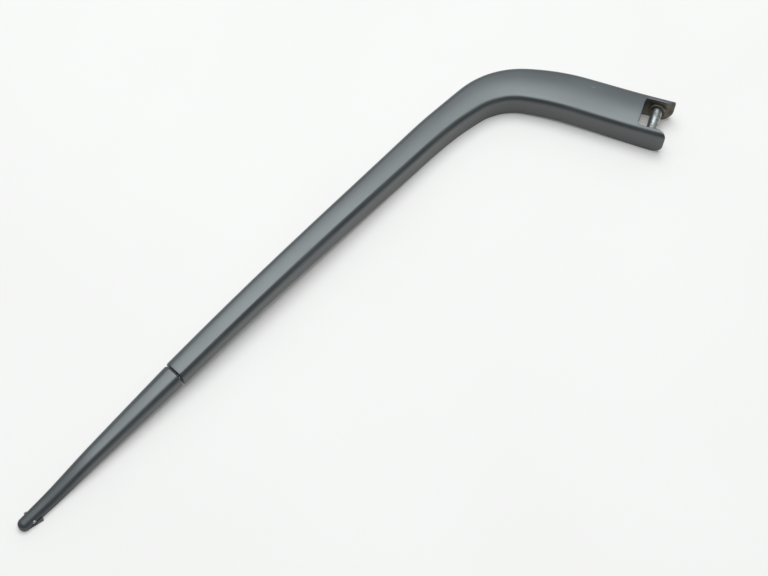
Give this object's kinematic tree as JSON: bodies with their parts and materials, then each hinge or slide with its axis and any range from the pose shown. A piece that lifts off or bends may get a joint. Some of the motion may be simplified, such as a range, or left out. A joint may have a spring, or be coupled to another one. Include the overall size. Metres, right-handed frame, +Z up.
{
  "type": "wiper arm",
  "caption": "Cranked, painted wiper arm with a clevis and pivot pin at one end, a tapered pressed tail at the other and a tension spring under its roof.",
  "frame": {"origin": "middle of the pivot pin, half way between the ears of the clevis", "axes": "+Y along the pivot pin, +X along the straight leg away from the clevis, +Z up from the open underside towards the roof"},
  "size_m": [0.1981, 0.2804, 0.0148],
  "materials": {
    "arm_paint": "satin dark blue-grey paint with light dust",
    "pin_steel": "zinc-plated steel, dulled",
    "washer_steel": "dull stained steel",
    "spring_steel": "dark drawn spring wire",
    "hook_steel": "plated pressed strip"
  },
  "bodies": {
    "arm": {"arm_casting": "arm_paint", "arm_tail": "arm_paint", "pivot_pin": "pin_steel", "spring_anchor_pin": "pin_steel", "blade_pin": "pin_steel"},
    "spring": {"tension_spring": "spring_steel"},
    "hook": {"spring_hook": "hook_steel"},
    "washer_far": {"thrust_washer_far": "washer_steel"},
    "washer_near": {"thrust_washer_near": "washer_steel"}
  },
  "joints": [
    {"name": "spring_swing", "type": "hinge", "parent": "arm", "child": "spring", "pos_m": [0.0516, 0, -0.0005], "axis": [0, 1, 0], "range_deg": [0, 4.4]},
    {"name": "hook_pull", "type": "slide", "parent": "spring", "child": "hook", "axis": [-0.9971, 0, -0.0767], "range_m": [0, 0.006], "stiffness_N_per_m": 5000, "deforming": ["tension_spring"]},
    {"name": "washer_far_spin", "type": "hinge", "parent": "arm", "child": "washer_far", "pos_m": [0, 0, 0], "axis": [0, 1, 0], "continuous": true},
    {"name": "washer_near_spin", "type": "hinge", "parent": "arm", "child": "washer_near", "pos_m": [0, 0, 0], "axis": [0, 1, 0], "continuous": true}
  ]
}
